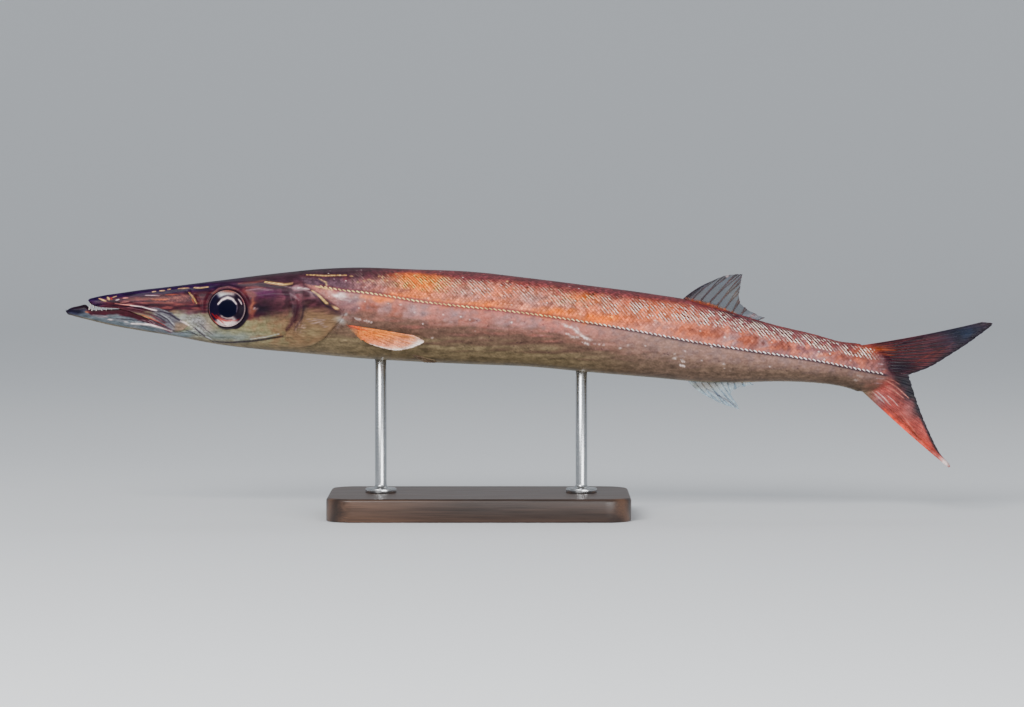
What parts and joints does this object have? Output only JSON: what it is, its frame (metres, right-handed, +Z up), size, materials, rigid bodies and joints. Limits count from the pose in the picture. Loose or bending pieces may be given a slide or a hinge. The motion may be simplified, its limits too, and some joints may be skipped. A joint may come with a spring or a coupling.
{
  "type": "barracuda",
  "caption": "Life-size display model of a young barracuda swimming with its mouth slightly open, held over a flat base by short rods.",
  "frame": {"origin": "on the floor under the middle of the fish's length, in its middle plane", "axes": "+X towards the tail, -Y the fish's left side, +Z up"},
  "size_m": [0.4799, 0.092, 0.1286],
  "materials": {
    "skin": "satin, wet-looking scales",
    "eye": "polished",
    "dark_fin": "satin",
    "warm_fin": "satin",
    "clear_fin": "satin",
    "stand_wood": "satin stain",
    "stand_steel": "brushed"
  },
  "bodies": {
    "root": {"head": "skin", "lower_jaw": "skin", "gill_cover_left": "skin", "gill_cover_right": "skin", "trunk_front": "skin", "trunk_middle": "skin", "trunk_rear": "skin", "tail_stalk": "skin", "eye_left": "eye", "eye_right": "eye", "first_dorsal_fin": "dark_fin", "second_dorsal_fin": "dark_fin", "anal_fin": "clear_fin", "pelvic_fin_left": "clear_fin", "pelvic_fin_right": "clear_fin", "pectoral_fin_left": "warm_fin", "pectoral_fin_right": "warm_fin", "tail_fin_upper": "dark_fin", "tail_fin_lower": "warm_fin", "stand_base": "stand_wood", "stand_rod_front": "stand_steel", "stand_rod_rear": "stand_steel"}
  },
  "joints": []
}
